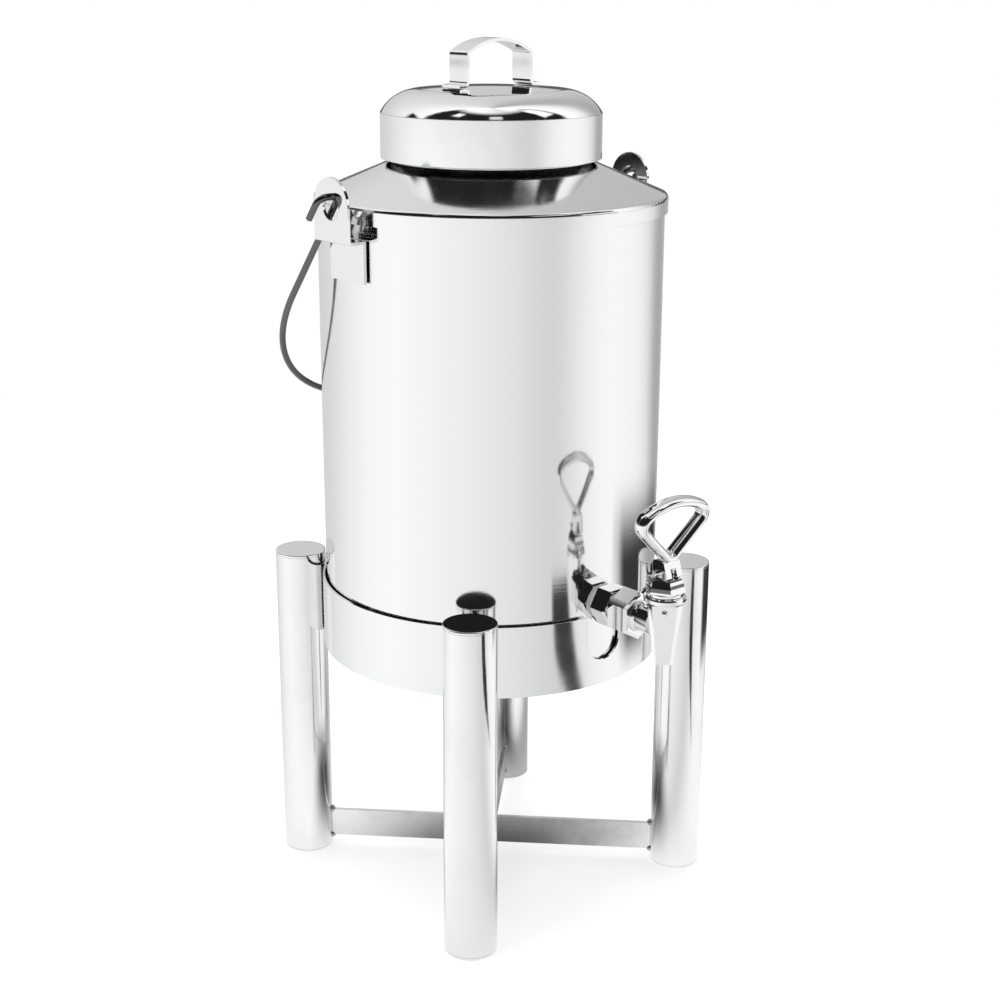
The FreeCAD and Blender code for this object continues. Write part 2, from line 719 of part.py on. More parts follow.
def loop():
    """Oval bar bent to a wide teardrop that leans forward a little over the pin."""
    lean = math.radians(LOOP_LEAN)
    flank = math.radians(LOOP_FLANK)
    up = V(0, -math.sin(lean), math.cos(lean))
    pull = V(0, -math.cos(lean), -math.sin(lean))
    apex = LOOP_SHOULDER + LOOP_HALF * math.tan(flank)
    arch = (apex - LOOP_CROWN) / (1 / math.cos(flank) - 1)
    points = []
    for x, s in ((0, LOOP_FOOT), (LOOP_HALF, LOOP_SHOULDER), (0, apex), (-LOOP_HALF, LOOP_SHOULDER)):
        points.append(V(x, TAP_Y, PIN_Z) + up * s)
    edges = rounded(points, [LOOP_FOOT_BEND, LOOP_SIDE_BEND, arch, LOOP_SIDE_BEND], closed=True)
    start = edges[0].valueAt(edges[0].FirstParameter)
    across = edges[0].tangentAt(edges[0].FirstParameter).cross(pull)
    oval = Part.Ellipse(start + pull * LOOP_DEEP / 2, start + across * LOOP_T / 2, start)
    return Part.Wire(edges).makePipeShell([Part.Wire(oval.toShape())], True, False)


def tap_lever():
    lever = yoke().fuse(loop())
    slot_w = TONGUE_T + 2 * REST
    slot_h = CAM_UNDER + STEM_R + REST
    slot_l = 4 * LIFT_RATE
    slot = Part.makeBox(slot_w, slot_l, slot_h, V(-slot_w / 2, TAP_Y - slot_l / 2, PIN_Z - CAM_UNDER))
    eye = Part.makeCylinder(PIN_R + PIN_PLAY, 2 * YOKE_W, V(-YOKE_W, TAP_Y, PIN_Z), V(1, 0, 0))
    return lever.cut(slot).cut(eye)


def pivot_pin():
    pin = Part.makeCylinder(PIN_R, 2 * PIN_HALF, V(-PIN_HALF, TAP_Y, PIN_Z), V(1, 0, 0))
    return pin.makeFillet(PIN_EDGE, rims(pin, PIN_R))


def tap_screw():
    """Small domed screw that stands square on the front left flat."""
    taper = math.atan2(BODY_A - SPOUT_A, FLANGE_Z0 - SPOUT_Z0)
    flat = SPOUT_A + (SCREW_UP + SPOUT_DROP) * math.tan(taper)
    head = Part.makeSphere(SCREW_R).common(Part.makeBox(
        4 * SCREW_R, 2 * SCREW_R, 4 * SCREW_R, V(-2 * SCREW_R, -2 * SCREW_R - SEAT, -2 * SCREW_R)))
    head.rotate(V(), V(1, 0, 0), math.degrees(taper))
    head.translate(V(0, -flat, TAP_Z + SCREW_UP))
    head.rotate(V(), Z_AXIS, -45.0)
    head.translate(V(0, TAP_Y, 0))
    return head


def main():
    os.makedirs("parts", exist_ok=True)
    names = ("leg_front_left", "leg_front_right", "leg_back_right", "leg_back_left")
    for name, angle in zip(names, LEG_ANGLES):
        save(name, turned(leg_tube(), angle))
    save("leg_top_caps", Part.makeCompound([turned(leg_cap(LEG_TOP - CAP_T, True), a) for a in LEG_ANGLES]))
    save("leg_foot_caps", Part.makeCompound([turned(leg_cap(0.0, False), a) for a in LEG_ANGLES]))
    save("stand_ring", stand_ring())
    save("support_ledge", support_ledge())
    save("brace_bar_across", turned(cross_bar(True), -45.0))
    save("brace_bar_along", turned(cross_bar(False), 45.0))
    save("brace_welds", brace_beads())

    save("tank_shell", tank_shell())
    save("tank_bottom", tank_bottom())
    save("shoulder", shoulder())
    save("neck_collar", neck_collar())
    save("ear_left", ear(-1))
    save("ear_right", ear(1))
    save("bail", swept(bail_route(), WIRE_R))

    save("lid_dome", lid_dome())
    save("lid_skirt", lid_skirt())
    save("lid_inner_pan", lid_pan())
    save("lid_handle", lid_handle())

    save("tap_body", tap_body())
    save("tap_hex_nut", hex_nut(NUT_AF, NUT_Y - SEAT, NUT_T))
    save("tap_gasket_outer", tap_gasket(False))
    save("tap_gasket_inner", tap_gasket(True))
    save("tap_lock_nut", hex_nut(LOCK_AF, LOCK_Y + LOCK_T + SEAT, LOCK_T))
    save("tap_bonnet", tap_bonnet())
    save("tap_stem", tap_stem())
    save("tap_seat_cup", tap_cup())
    save("tap_spring", tap_spring())
    save("tap_lever", tap_lever())
    save("tap_pivot_pin", pivot_pin())
    save("tap_screw", tap_screw())


main()
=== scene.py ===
import bpy
import bmesh
import math
from mathutils import Matrix, Vector


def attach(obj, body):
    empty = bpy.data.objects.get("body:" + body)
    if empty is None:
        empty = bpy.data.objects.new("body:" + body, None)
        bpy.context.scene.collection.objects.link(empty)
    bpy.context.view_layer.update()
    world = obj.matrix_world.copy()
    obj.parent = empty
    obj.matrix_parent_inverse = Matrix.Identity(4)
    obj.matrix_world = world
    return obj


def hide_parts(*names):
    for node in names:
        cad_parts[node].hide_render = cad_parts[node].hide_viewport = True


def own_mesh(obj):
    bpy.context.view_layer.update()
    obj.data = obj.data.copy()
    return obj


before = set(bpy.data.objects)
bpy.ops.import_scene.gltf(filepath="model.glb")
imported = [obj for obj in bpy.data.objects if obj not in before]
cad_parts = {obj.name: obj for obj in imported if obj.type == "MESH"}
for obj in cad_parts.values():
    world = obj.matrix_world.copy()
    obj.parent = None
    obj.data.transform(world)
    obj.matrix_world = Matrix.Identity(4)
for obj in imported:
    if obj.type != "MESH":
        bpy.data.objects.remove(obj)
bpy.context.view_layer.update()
MM = 0.001

# Camera, at the photograph's place
CAM_AT = Vector((-0.7377, -0.8918, 0.6237))
CAM_AHEAD = Vector((0.6183, 0.7320, -0.2862)).normalized()
CAM_ROLL = 0.0047
LENS, SENSOR = 62.53, 36
SHIFT = (-0.0083, -0.0094)
CLIP = (0.05, 60)

camera = bpy.data.objects.new("camera", bpy.data.cameras.new("camera"))
bpy.context.scene.collection.objects.link(camera)
across = CAM_AHEAD.cross(Vector((0, 0, 1))).normalized()
upward = across.cross(CAM_AHEAD)
right = across * math.cos(CAM_ROLL) + upward * math.sin(CAM_ROLL)
up = upward * math.cos(CAM_ROLL) - across * math.sin(CAM_ROLL)
facing = Matrix((right, up, -CAM_AHEAD)).transposed().to_4x4()
camera.matrix_world = Matrix.Translation(CAM_AT) @ facing
camera.data.lens = LENS
camera.data.sensor_width = SENSOR
camera.data.shift_x, camera.data.shift_y = SHIFT
camera.data.clip_start, camera.data.clip_end = CLIP
bpy.context.scene.camera = camera
bpy.context.scene.view_settings.view_transform = "Standard"


class Nodes:
    """Short calls for building one node tree."""

    def __init__(self, tree):
        self.tree = tree
        tree.nodes.clear()

    def add(self, kind, inputs=None, **settings):
        """Add a node, with its settings and the values or links of its inputs."""
        node = self.tree.nodes.new(kind)
        for key, value in settings.items():
            setattr(node, key, value)
        for key, value in (inputs or {}).items():
            self.put(node.inputs[key], value)
        return node

    def put(self, socket, value):
        """Link a socket into an input, or set the input to a value."""
        if isinstance(value, bpy.types.NodeSocket):
            self.tree.links.new(value, socket)
        else:
            socket.default_value = value

    def math(self, operation, a, b=None, clamp=False):
        node = self.add("ShaderNodeMath", operation=operation, use_clamp=clamp)
        self.put(node.inputs[0], a)
        if b is not None:
            self.put(node.inputs[1], b)
        return node.outputs[0]

    def times(self, *values):
        """Product of two or more values."""
        product = values[0]
        for value in values[1:]:
            product = self.math("MULTIPLY", product, value)
        return product

    def dimmed(self, value, where, share):
        """The value, less a share of it where the mask is one."""
        return self.times(value, self.math("SUBTRACT", 1.0, self.times(where, share)))

    def step(self, value, low, high, to_low=0.0, to_high=1.0):
        """Smooth change from one value to another between two limits."""
        node = self.add("ShaderNodeMapRange", interpolation_type="SMOOTHSTEP")
        keys = ("Value", "From Min", "From Max", "To Min", "To Max")
        for key, v in zip(keys, (value, low, high, to_low, to_high)):
            self.put(node.inputs[key], v)
        return node.outputs[0]

    def band(self, value, low, high, soft):
        """One between two limits, zero outside, with soft ends."""
        rise = self.step(value, low - soft, low + soft)
        fall = self.step(value, high - soft, high + soft, 1.0, 0.0)
        return self.times(rise, fall)

    def mix(self, factor, a, b, kind="FLOAT"):
        node = self.add("ShaderNodeMix", data_type=kind)
        first, second, result = {"FLOAT": (2, 3, 0), "RGBA": (6, 7, 2)}[kind]
        self.put(node.inputs[0], factor)
        self.put(node.inputs[first], a)
        self.put(node.inputs[second], b)
        return node.outputs[result]

    def ramp(self, factor, stops):
        """Grey tone along a smooth curve through the stops, each a place and a tone."""
        node = self.add("ShaderNodeValToRGB")
        node.color_ramp.interpolation = "B_SPLINE"
        elements = node.color_ramp.elements
        while len(elements) < len(stops):
            elements.new(0.5)
        for element, (at, tone) in zip(elements, stops):
            element.position = at
            element.color = (tone, tone, tone, 1)
        self.put(node.inputs[0], factor)
        return node.outputs[0]

    def turn_fraction(self, vector):
        """Share of a turn round Z, where 0.25 is -Y, 0.5 is +X and 0.75 is +Y."""
        node = self.add("ShaderNodeTexGradient", {"Vector": vector}, gradient_type="RADIAL")
        return node.outputs["Fac"]

    def object_place(self):
        return self.add("ShaderNodeTexCoord").outputs["Object"]


WHITE = (1, 1, 1, 1)

# Light tent: tones of its wall, each with its place as a share of a turn
TENT = [
    (0.0, 0.95), (0.036, 0.93), (0.1, 0.86), (0.139, 0.83), (0.2, 0.74), (0.25, 0.63),
    (0.29, 0.78), (0.33, 0.92), (0.38, 0.98), (0.45, 0.92), (0.49, 0.76), (0.52, 0.42),
    (0.56, 0.34), (0.62, 0.55), (0.7, 0.62), (0.758, 0.66), (0.822, 0.8), (0.889, 0.94),
    (0.961, 0.99), (1.0, 0.95),
]
TENT_GAIN = 1.13
CEILING_GAIN = 1.3
CEILING_FROM, CEILING_FULL = 0.2, 0.6

# Parts of the tent, each between two azimuths, in degrees from -Y, and two heights, where 0 is
# level and 1 is straight up
ROOM = ((-130, 60), (0.07, 0.955))
FLAG = ((-152, -128), (0.1, 0.64))
BOXES = [
    ((-103, -89), (0.85, 0.915)),
    ((-42, -22), (0.866, 0.9)),
    ((36, 56), (0.766, 0.94)),
    ((-8, 24), (0.6, 0.75)),
    ((20, 64), (0.105, 0.42)),
]
SEAM_HEIGHTS = (-0.02, 0.1)
SEAM_DARK = 0.85
DARK_TONE = 0.012


def light_tent():
    """White to the camera; to everything else a pale wall with a dark room at its front."""
    world = bpy.data.worlds.new("tent")
    bpy.context.scene.world = world
    world.use_nodes = True
    n = Nodes(world.node_tree)
    toward = n.add("ShaderNodeTexCoord").outputs["Generated"]
    height = n.add("ShaderNodeSeparateXYZ", {"Vector": toward}).outputs["Z"]
    around = n.turn_fraction(toward)
    wall = n.ramp(around, TENT)
    bearing = n.math("FRACT", n.math("ADD", around, 0.25))

    def patch(azimuths, heights, soft=0.01, soft_up=0.02):
        low, high = (azimuth / 360 + 0.5 for azimuth in azimuths)
        return n.times(n.band(bearing, low, high, soft), n.band(height, *heights, soft_up))

    boxes = 0.0
    for box in BOXES:
        boxes = n.math("MAXIMUM", boxes, patch(*box, soft=0.006))
    room = n.math("SUBTRACT", patch(*ROOM, soft_up=0.03), boxes, clamp=True)
    seam = n.times(n.band(height, *SEAM_HEIGHTS, 0.015), SEAM_DARK)
    dark = n.math("MAXIMUM", n.math("MAXIMUM", room, patch(*FLAG)), seam)
    ceiling = n.step(height, CEILING_FROM, CEILING_FULL, TENT_GAIN, CEILING_GAIN)
    tone = n.times(n.mix(dark, wall, DARK_TONE), ceiling)
    path = n.add("ShaderNodeLightPath")
    seen = n.add("ShaderNodeBackground", {"Color": WHITE, "Strength": 1.0})
    lit = n.add("ShaderNodeBackground", {"Color": tone, "Strength": 1.0})
    both = n.add("ShaderNodeMixShader", {
        0: path.outputs["Is Camera Ray"], 1: lit.outputs[0], 2: seen.outputs[0]})
    n.add("ShaderNodeOutputWorld", {"Surface": both.outputs[0]})


light_tent()

# Floor, in metres from the urn's axis, with places round it as shares of a turn
FLOOR_R = 12.0
FAR, FAR_TONE = (11.0, 12.0), 0.2
# Painted shadow under the urn: what steel reflects of the floor darkens towards the urn's axis
PAINTED_SHADOW_REACH, PAINTED_SHADOW_TONE = (0.02, 0.14), 0.1
CARD_AROUND, CARD_SOFT = (0.395, 0.56), 0.018
CARD_NEAR, CARD_FAR = (0.48, 0.6), (0.8, 1.15)
CARD_DARK = 0.96
WEDGE_Y = (-0.8, -0.31)
WEDGE_WIDENS = (-0.31, -0.65)
WEDGE_X, WEDGE_LEAN = 0.165, 0.098
WEDGE_HALF, WEDGE_SPREAD = 0.004, 0.07
WEDGE_SOFT = (-0.008, 0.006)
WEDGE_DARK = 0.95
CLOTH = (0.6, 0.6, 0.6, 1)
CLOTH_GLOW = 0.66
WHITE_FROM, WHITE_FULL = 0.5, 1.6


def floor_material():
    """White with a soft shadow where it is seen, and the tent's tones where steel reflects it,
    with a painted shadow under the urn in what steel reflects.
    """
    material = bpy.data.materials.new("floor")
    material.use_nodes = True
    n = Nodes(material.node_tree)
    place = n.object_place()
    around = n.turn_fraction(place)
    reach = n.add("ShaderNodeVectorMath", {0: place}, operation="LENGTH").outputs["Value"]
    tone = n.ramp(around, TENT)
    tone = n.times(tone, n.step(reach, *FAR, 1.0, FAR_TONE))
    # Painted shadow: the reflected floor darkens near the urn's axis and stands in for the urn's
    # own shade
    tone = n.times(tone, n.step(reach, *PAINTED_SHADOW_REACH, PAINTED_SHADOW_TONE, 1.0))

    # A dark card beside the tap, which darkens the tank's right side
    card = n.times(n.band(around, *CARD_AROUND, CARD_SOFT), n.step(reach, *CARD_NEAR),
                   n.step(reach, *CARD_FAR, 1.0, 0.0))
    tone = n.dimmed(tone, card, CARD_DARK)

    # A dark wedge before the tap, which widens away from the urn
    spot = n.add("ShaderNodeSeparateXYZ", {"Vector": place}).outputs
    along = n.step(spot["Y"], *WEDGE_WIDENS)
    middle = n.math("SUBTRACT", WEDGE_X, n.times(along, WEDGE_LEAN))
    width = n.math("ADD", WEDGE_HALF, n.times(along, WEDGE_SPREAD))
    off = n.math("ABSOLUTE", n.math("SUBTRACT", spot["X"], middle))
    wedge = n.times(n.step(n.math("SUBTRACT", off, width), *WEDGE_SOFT, 1.0, 0.0),
                    n.band(spot["Y"], *WEDGE_Y, 0.02))
    tone = n.dimmed(tone, wedge, WEDGE_DARK)

    shade = n.times(tone, TENT_GAIN)
    reflected = n.add("ShaderNodeEmission", {"Color": shade, "Strength": 1.0})
    cloth = n.add("ShaderNodeBsdfDiffuse", {"Color": CLOTH})
    glow = n.add("ShaderNodeEmission", {"Color": WHITE, "Strength": CLOTH_GLOW})
    plain = n.add("ShaderNodeAddShader", {0: cloth.outputs[0], 1: glow.outputs[0]})
    white = n.add("ShaderNodeEmission", {"Color": WHITE, "Strength": 1.0})
    open_floor = n.add("ShaderNodeMixShader", {
        0: n.step(reach, WHITE_FROM, WHITE_FULL), 1: plain.outputs[0], 2: white.outputs[0]})
    glossy = n.add("ShaderNodeLightPath").outputs["Is Glossy Ray"]
    whole = n.add("ShaderNodeMixShader", {
        0: glossy, 1: open_floor.outputs[0], 2: reflected.outputs[0]})
    n.add("ShaderNodeOutputMaterial", {"Surface": whole.outputs[0]})
    return material


def mesh_object(name, bm, material, smooth=True):
    """Make an object of a mesh under construction, at the origin."""
    mesh = bpy.data.meshes.new(name)
    bm.to_mesh(mesh)
    bm.free()
    for polygon in mesh.polygons:
        polygon.use_smooth = smooth
    item = bpy.data.objects.new(name, mesh)
    bpy.context.scene.collection.objects.link(item)
    mesh.materials.append(material)
    return item


bm = bmesh.new()
bmesh.ops.create_circle(bm, cap_ends=True, segments=64, radius=FLOOR_R)
floor = mesh_object("floor", bm, floor_material(), smooth=False)

LAMP_AIM = Vector((0, 0, 0.28))


def lamp(name, at, size, power):
    """Soft rectangular lamp, aimed at the urn, which leaves no spot of its own on the steel."""
    light = bpy.data.lights.new(name, "AREA")
    light.shape = "RECTANGLE"
    light.size, light.size_y = size
    light.energy = power
    item = bpy.data.objects.new(name, light)
    bpy.context.scene.collection.objects.link(item)
    item.location = at
    item.rotation_euler = (LAMP_AIM - Vector(at)).to_track_quat("-Z", "Y").to_euler()
    item.visible_glossy = False
    item.visible_camera = False


lamp("lamp_top", (0.1, 0.2, 2.4), (2.2, 2.2), 26)
lamp("lamp_left", (-2.0, 0.2, 1.3), (1.4, 1.6), 14)

# Finishes
SMUDGE_TINT = (0.45, 0.45, 0.44)
SEAL_SHADE = (0.85, 0.85, 0.82)


def shaded(tint, shade):
    """A colour, darkened channel by channel."""
    return (*(t * s for t, s in zip(tint, shade)), 1)


def steel(name, tint, rough, grain, grain_depth, haze, smudge=0.0, edge=0.25):
    """Steel or chrome: grain is the streaks' fineness along X, Y and Z, in cycles per metre,
    haze and smudge are how cloudy and how stained it is, and edge rounds its edges, in mm."""
    material = bpy.data.materials.new(name)
    material.use_nodes = True
    n = Nodes(material.node_tree)
    place = n.object_place()
    stretch = n.add("ShaderNodeVectorMath", {0: place, 1: grain}, operation="MULTIPLY").outputs[0]
    streak = n.add("ShaderNodeTexNoise", {
        "Vector": stretch, "Scale": 1.0, "Detail": 3.0, "Roughness": 0.6}).outputs["Fac"]
    cloud = n.add("ShaderNodeTexNoise", {
        "Vector": place, "Scale": 22.0, "Detail": 4.0, "Roughness": 0.65}).outputs["Fac"]
    roughness = n.math("ADD", rough, n.times(n.step(cloud, 0.35, 0.75), haze))
    roughness = n.math("ADD", roughness, n.times(streak, haze), clamp=True)
    stain = n.times(n.step(cloud, 0.45, 0.8), smudge)
    color = n.mix(stain, (*tint, 1), shaded(tint, SMUDGE_TINT), "RGBA")
    bump = n.add("ShaderNodeBump", {
        "Height": streak, "Strength": grain_depth, "Distance": 0.4 * MM})
    if edge:
        rounded = n.add("ShaderNodeBevel", {"Radius": edge * MM}, samples=4)
        n.put(bump.inputs["Normal"], rounded.outputs[0])
    shader = n.add("ShaderNodeBsdfPrincipled", {
        "Base Color": color, "Metallic": 1.0, "Roughness": roughness,
        "Normal": bump.outputs[0]})
    n.add("ShaderNodeOutputMaterial", {"Surface": shader.outputs[0]})
    return material


def seal(name, tint):
    """Pale silicone with a faint speckle."""
    material = bpy.data.materials.new(name)
    material.use_nodes = True
    n = Nodes(material.node_tree)
    place = n.object_place()
    speck = n.add("ShaderNodeTexNoise", {"Vector": place, "Scale": 900.0, "Detail": 3.0})
    cloud = n.add("ShaderNodeTexNoise", {"Vector": place, "Scale": 90.0, "Detail": 2.0})
    color = n.mix(cloud.outputs["Fac"], (*tint, 1), shaded(tint, SEAL_SHADE), "RGBA")
    bump = n.add("ShaderNodeBump", {
        "Height": speck.outputs["Fac"], "Strength": 0.15, "Distance": 0.2 * MM})
    shader = n.add("ShaderNodeBsdfPrincipled", {
        "Base Color": color, "Roughness": 0.62, "Normal": bump.outputs[0],
        "Subsurface Weight": 0.05})
    n.add("ShaderNodeOutputMaterial", {"Surface": shader.outputs[0]})
    return material


def even(cycles):
    """Grain of the same fineness every way."""
    return (cycles, cycles, cycles)


UPRIGHT = (900.0, 900.0, 6.0)
ROUND = (12.0, 12.0, 1500.0)
FLAT = (30.0, 30.0, 2200.0)
BRIGHT = (0.85, 0.858, 0.86)
BARE = (0.8, 0.805, 0.8)
BURNT = (0.45, 0.44, 0.43)
# Painted reflection: the bail's chrome wire gets a dark tint that stands in for the dark
# reflection along it
PAINTED_DARK_REFLECTION = (0.13, 0.135, 0.135)
PLATED = (0.86, 0.87, 0.875)
MATT = (0.75, 0.755, 0.75)
LOOKS = {
    "tank": steel("steel_tank", BRIGHT, 0.05, ROUND, 0.02, 0.04),
    "shoulder": steel("steel_shoulder", BRIGHT, 0.05, ROUND, 0.02, 0.06),
    "ring": steel("steel_ring", BRIGHT, 0.05, ROUND, 0.03, 0.05),
    "skirt": steel("steel_skirt", BRIGHT, 0.06, UPRIGHT, 0.06, 0.06),
    "dome": steel("steel_dome", BRIGHT, 0.03, ROUND, 0.015, 0.03),
    "leg": steel("steel_leg", BRIGHT, 0.04, UPRIGHT, 0.05, 0.05, 0.1),
    "strap": steel("steel_strap", BRIGHT, 0.03, even(60.0), 0.01, 0.03),
    "bar": steel("steel_bar", BARE, 0.2, FLAT, 0.12, 0.12, 0.5),
    "weld": steel("steel_weld", BURNT, 0.25, even(500.0), 0.6, 0.2, 0.6, edge=0),
    "wire": steel("steel_wire", PAINTED_DARK_REFLECTION, 0.12, even(80.0), 0.02, 0.06),
    "chrome": steel("chrome", PLATED, 0.02, even(40.0), 0.008, 0.02, edge=0.35),
    "inner": steel("steel_inner", MATT, 0.2, ROUND, 0.05, 0.1, 0.15),
    "seal": seal("silicone", (0.83, 0.83, 0.8)),
}
DRESS = {
    "tank": ["tank_shell"],
    "shoulder": ["shoulder"],
    "ring": ["stand_ring"],
    "skirt": ["lid_skirt"],
    "dome": ["lid_dome"],
    "leg": ["leg_front_left", "leg_front_right", "leg_back_right", "leg_back_left",
            "leg_top_caps", "leg_foot_caps"],
    "strap": ["ear_left", "ear_right", "lid_handle"],
    "bar": ["brace_bar_across", "brace_bar_along"],
    "weld": ["brace_welds"],
    "wire": ["bail"],
    "chrome": ["tap_body", "tap_hex_nut", "tap_lock_nut", "tap_bonnet", "tap_stem", "tap_lever",
               "tap_pivot_pin", "tap_screw", "tap_spring"],
    "inner": ["support_ledge", "tank_bottom", "neck_collar", "lid_inner_pan"],
    "seal": ["tap_gasket_outer", "tap_gasket_inner", "tap_seat_cup"],
}
for look, names in DRESS.items():
    for name in names:
        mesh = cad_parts[name].data
        mesh.materials.clear()
        mesh.materials.append(LOOKS[look])

# Tap, in mm. Its run lies along Y at AXIS_Z, counted outwards from the tank's wall at WALL_Y,
# and its valve stands upright at VALVE_Y.
AXIS_Z = 228.5
VALVE_Y = -172.0
WALL_Y = -115.0
TAP_ROOT = (0, WALL_Y, AXIS_Z)
SHARP = 0.35

SPOUT_FOOT_Z, SPOUT_TOP_Z = 204.0, 245.3
SPOUT_SIDE = 22.6
SPOUT_TAPER = 0.522
SPOUT_CORNER = 15
MOUTH_WALL, MOUTH_DEPTH = 2.4, 9
FLANGE_R, FLANGE_BORE_R, FLANGE_TALL = 13.5, 7.3, 4.5
FLANGE_EDGE, FLANGE_ROUND = 1.4, 0.4

RUN_BORE_R = 4.2
SHANK_R, SHANK_ENDS = 8, (-16, 18.5)
THREAD_TURNS, THREAD_PITCH = 9, 1.5
THREAD_FROM, THREAD_ROOT_R, THREAD_R = -15.6, 7.9, 8.45
UNION_ACROSS, UNION_END, UNION_EDGE = 28, 35.5, 2.2
COLLAR_R, COLLAR_END, COLLAR_EDGE = 10.4, 38, 0.6
THROAT_R, THROAT_END = 9, 49.5

NUT_BORE_R = 8.5
WALL_NUT_ACROSS, WALL_NUT_ENDS, WALL_NUT_EDGE = 24.4, (2.2, 15.2), 1.5
LOCK_NUT_ACROSS, LOCK_NUT_ENDS, LOCK_NUT_EDGE = 22, (-11.2, -5.2), 1.2
WASHER_R, WASHER_ENDS, WASHER_EDGE = 11.5, (-0.55, 2.2), 0.3
INSIDE_WASHER_ENDS, INSIDE_WASHER_DISH = (-5.2, -1.3), 0.7

CAP_FOOT_Z = 249.9
CAP_BORE_R = 2.8
CAP_BASE_R, CAP_BASE_TALL = 11.9, 2.4
CAP_CROWN = [(13.3, 2.4), (13.05, 3.9), (12.55, 6), (11.9, 8.4), (11, 10.3), (10, 11.3)]

COIL_R, COIL_WIRE_R = 3.9, 0.45
COIL_FOOT_Z, COIL_TALL = 222.85, 20.3
COIL_TURNS, COIL_STEPS = 5, 160


def lay_along_y(bm):
    """Turn everything made upright so far to lie along Y, its top outwards."""
    bmesh.ops.rotate(bm, verts=bm.verts[:], cent=(0, 0, 0),
                     matrix=Matrix.Rotation(math.pi / 2, 3, "X"))


def turned(bm, profile, steps=72, turn=0.0):
    """Revolve a closed profile of (radius, height) round Z."""
    corners = [bm.verts.new((r * MM, 0, z * MM)) for r, z in profile]
    edges = [bm.edges.new(pair) for pair in zip(corners, corners[1:] + corners[:1])]
    bmesh.ops.rotate(bm, verts=corners, cent=(0, 0, 0), matrix=Matrix.Rotation(turn, 3, "Z"))
    bmesh.ops.spin(bm, geom=corners + edges, cent=(0, 0, 0), axis=(0, 0, 1), angle=math.tau,
                   steps=steps, use_merge=True)


def hexagon(bm, across, ends, bore, edge, turn=0.0):
    """Hexagonal ring between two heights, with chamfered ends."""
    r = across / 2 / math.cos(math.pi / 6)
    low, high = ends
    turned(bm, [(bore, low), (r - edge, low), (r, low + edge * 0.6),
                (r, high - edge * 0.6), (r - edge, high), (bore, high)], 6, turn)


def piece(name, bm, look, node, at=(0, 0, 0)):
    """Put a mesh in its place on the urn, in the place of a plainer node."""
    bmesh.ops.translate(bm, verts=bm.verts[:], vec=Vector(at) * MM)
    bmesh.ops.remove_doubles(bm, verts=bm.verts[:], dist=1e-7)
    bmesh.ops.recalc_face_normals(bm, faces=bm.faces[:])
    for edge in bm.edges:
        edge.smooth = len(edge.link_faces) == 2 and edge.calc_face_angle(0) < SHARP
    item = mesh_object(name, bm, LOOKS[look])
    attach(item, "urn")
    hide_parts(node)
    return item


def spout(bm):
    """Square block that tapers to its foot, with broad corners and a hollow mouth."""
    low, high = SPOUT_FOOT_Z - AXIS_Z, SPOUT_TOP_Z - AXIS_Z
    middle = (high + low) / 2 * MM
    block = bmesh.ops.create_cube(bm, size=1)["verts"]
    bmesh.ops.scale(bm, verts=block, vec=(SPOUT_SIDE * MM, SPOUT_SIDE * MM, (high - low) * MM))
    bmesh.ops.translate(bm, verts=block, vec=(0, 0, middle))
    foot = [v for v in block if v.co.z < middle]
    bmesh.ops.scale(bm, verts=foot, vec=(SPOUT_TAPER, SPOUT_TAPER, 1))
    bmesh.ops.rotate(bm, verts=block, cent=(0, 0, 0), matrix=Matrix.Rotation(math.pi / 4, 3, "Z"))
    upright = [e for e in bm.edges if (e.verts[0] in foot) != (e.verts[1] in foot)]
    bmesh.ops.bevel(bm, geom=upright, offset=SPOUT_CORNER, offset_type="PERCENT", segments=1,
                    affect="EDGES", profile=0.5, material=-1)
    mouth = min(bm.faces, key=lambda f: f.calc_center_median().z)
    bmesh.ops.inset_region(bm, faces=[mouth], thickness=MOUTH_WALL * MM)
    deep = bmesh.ops.extrude_face_region(bm, geom=[mouth])["geom"]
    bmesh.ops.translate(bm, verts=[v for v in deep if isinstance(v, bmesh.types.BMVert)],
                        vec=(0, 0, MOUTH_DEPTH * MM))
    bmesh.ops.delete(bm, geom=[mouth], context="FACES")


def flange(bm):
    """Round flange on top of the spout, with rolled edges."""
    low = SPOUT_TOP_Z - AXIS_Z
    high = low + FLANGE_TALL
    inner, outer = FLANGE_R - FLANGE_EDGE, FLANGE_R - FLANGE_ROUND
    turned(bm, [(FLANGE_BORE_R, low), (inner, low), (outer, low + FLANGE_ROUND),
                (FLANGE_R, low + FLANGE_EDGE), (FLANGE_R, high - FLANGE_EDGE),
                (outer, high - FLANGE_ROUND), (inner, high), (FLANGE_BORE_R, high)], 96)


def run():
    """Threaded shank, hexagonal union, collar and throat, from inside the tank to the spout."""
    bm = bmesh.new()
    start, end = SHANK_ENDS
    turned(bm, [(RUN_BORE_R, start), (SHANK_R, start), (SHANK_R, end), (RUN_BORE_R, end)])
    for k in range(THREAD_TURNS):
        foot = THREAD_FROM + THREAD_PITCH * k
        turned(bm, [(THREAD_ROOT_R, foot), (THREAD_R, foot + 0.7), (THREAD_ROOT_R, foot + 1.4)])
    hexagon(bm, UNION_ACROSS, (end, UNION_END), RUN_BORE_R, UNION_EDGE, math.pi / 2)
    turned(bm, [(RUN_BORE_R, UNION_END), (COLLAR_R - COLLAR_EDGE, UNION_END),
                (COLLAR_R, UNION_END + COLLAR_EDGE), (COLLAR_R, COLLAR_END - COLLAR_EDGE),
                (COLLAR_R - COLLAR_EDGE, COLLAR_END), (THROAT_R, COLLAR_END + COLLAR_EDGE),
                (THROAT_R, THROAT_END), (RUN_BORE_R, THROAT_END)])
    lay_along_y(bm)
    mesh = bpy.data.meshes.new("run")
    bm.to_mesh(mesh)
    bm.free()
    return mesh


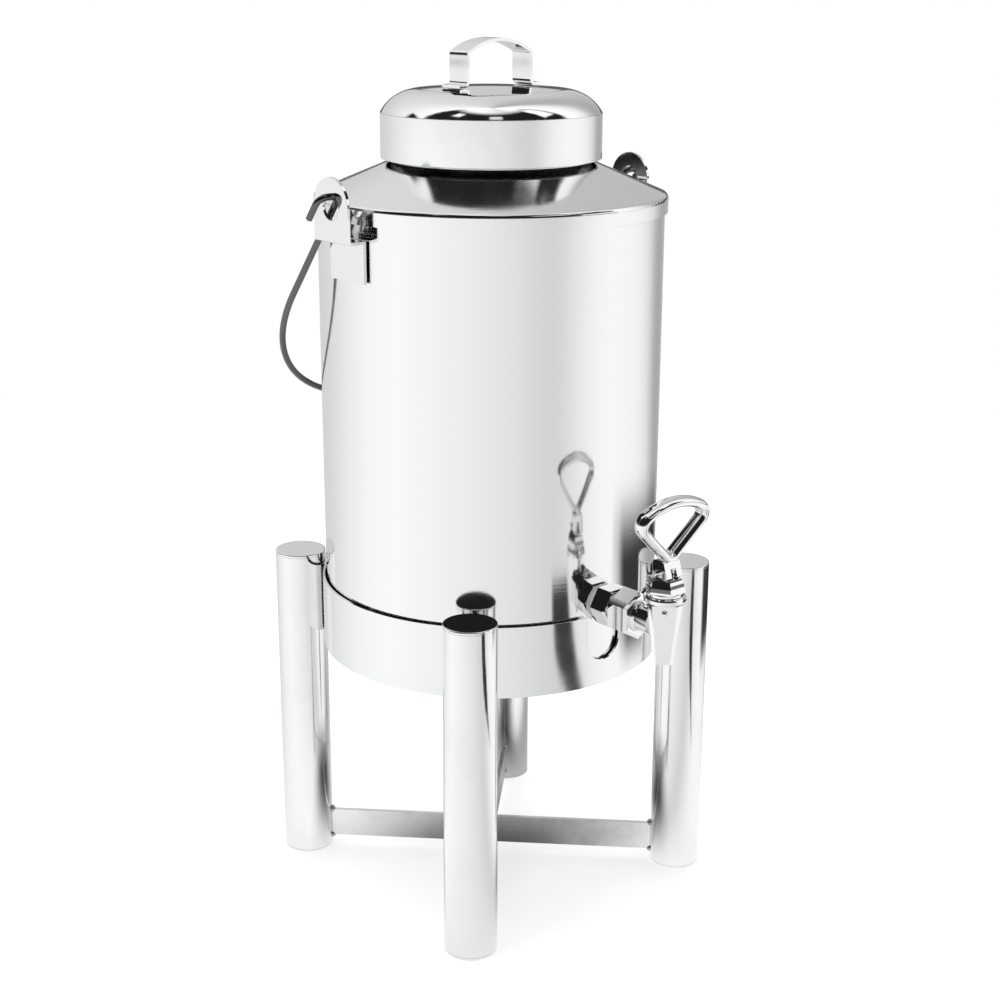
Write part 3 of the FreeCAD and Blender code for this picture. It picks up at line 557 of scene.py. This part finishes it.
def tap_front():
    """Spout, flange and the run behind them."""
    bm = bmesh.new()
    spout(bm)
    flange(bm)
    bmesh.ops.translate(bm, verts=bm.verts[:], vec=(0, (VALVE_Y - WALL_Y) * MM, 0))
    mesh = run()
    bm.from_mesh(mesh)
    bpy.data.meshes.remove(mesh)
    return bm


def nut(across, ends, edge):
    """Hexagonal nut on the shank."""
    bm = bmesh.new()
    hexagon(bm, across, ends, NUT_BORE_R, edge)
    lay_along_y(bm)
    return bm


def washer():
    """Gasket between the tank's wall and the nut."""
    bm = bmesh.new()
    low, high = WASHER_ENDS
    rim = WASHER_R - WASHER_EDGE
    turned(bm, [(NUT_BORE_R, low), (rim, low), (WASHER_R, low + 0.25),
                (WASHER_R, high - WASHER_EDGE), (rim, high), (NUT_BORE_R, high)])
    lay_along_y(bm)
    return bm


def inside_washer():
    """Gasket between the tank's wall and the lock nut, dished to the wall."""
    bm = bmesh.new()
    low, high = INSIDE_WASHER_ENDS
    turned(bm, [(NUT_BORE_R, low), (WASHER_R - WASHER_EDGE, low), (WASHER_R, low + WASHER_EDGE),
                (WASHER_R, high - INSIDE_WASHER_DISH), (NUT_BORE_R, high)])
    lay_along_y(bm)
    return bm


def cap():
    """Bonnet: a round base, and six crowned facets above it."""
    bm = bmesh.new()
    rim = CAP_BASE_R - 0.3
    turned(bm, [(CAP_BORE_R, 0), (rim, 0), (CAP_BASE_R, 0.4), (CAP_BASE_R, CAP_BASE_TALL - 0.4),
                (rim, CAP_BASE_TALL), (CAP_BORE_R, CAP_BASE_TALL)])
    top = CAP_CROWN[-1][1]
    turned(bm, [(CAP_BORE_R, CAP_BASE_TALL), *CAP_CROWN, (CAP_BORE_R, top)], 6)
    return bm


def coil():
    """Closing spring of round wire, with closed ends."""
    bm = bmesh.new()
    wire = bmesh.ops.create_circle(bm, segments=10, radius=COIL_WIRE_R * MM)["verts"]
    lay_along_y(bm)
    bmesh.ops.translate(bm, verts=wire, vec=(COIL_R * MM, 0, COIL_FOOT_Z * MM))
    bmesh.ops.spin(bm, geom=bm.verts[:] + bm.edges[:], cent=(0, 0, 0), axis=(0, 0, 1),
                   angle=COIL_TURNS * math.tau, steps=COIL_STEPS,
                   dvec=(0, 0, COIL_TALL / COIL_STEPS * MM))
    bmesh.ops.holes_fill(bm, edges=bm.edges[:], sides=0)
    return bm


piece("tap_front", tap_front(), "chrome", "tap_body", TAP_ROOT)
piece("tap_wall_nut", nut(WALL_NUT_ACROSS, WALL_NUT_ENDS, WALL_NUT_EDGE), "chrome",
      "tap_hex_nut", TAP_ROOT)
piece("tap_inside_nut", nut(LOCK_NUT_ACROSS, LOCK_NUT_ENDS, LOCK_NUT_EDGE), "chrome",
      "tap_lock_nut", TAP_ROOT)
piece("tap_washer", washer(), "seal", "tap_gasket_outer", TAP_ROOT)
piece("tap_inside_washer", inside_washer(), "seal", "tap_gasket_inner", TAP_ROOT)
piece("tap_cap", cap(), "chrome", "tap_bonnet", (0, VALVE_Y, CAP_FOOT_Z))
spring = piece("tap_coil", coil(), "chrome", "tap_spring", (0, VALVE_Y, 0))
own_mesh(spring)
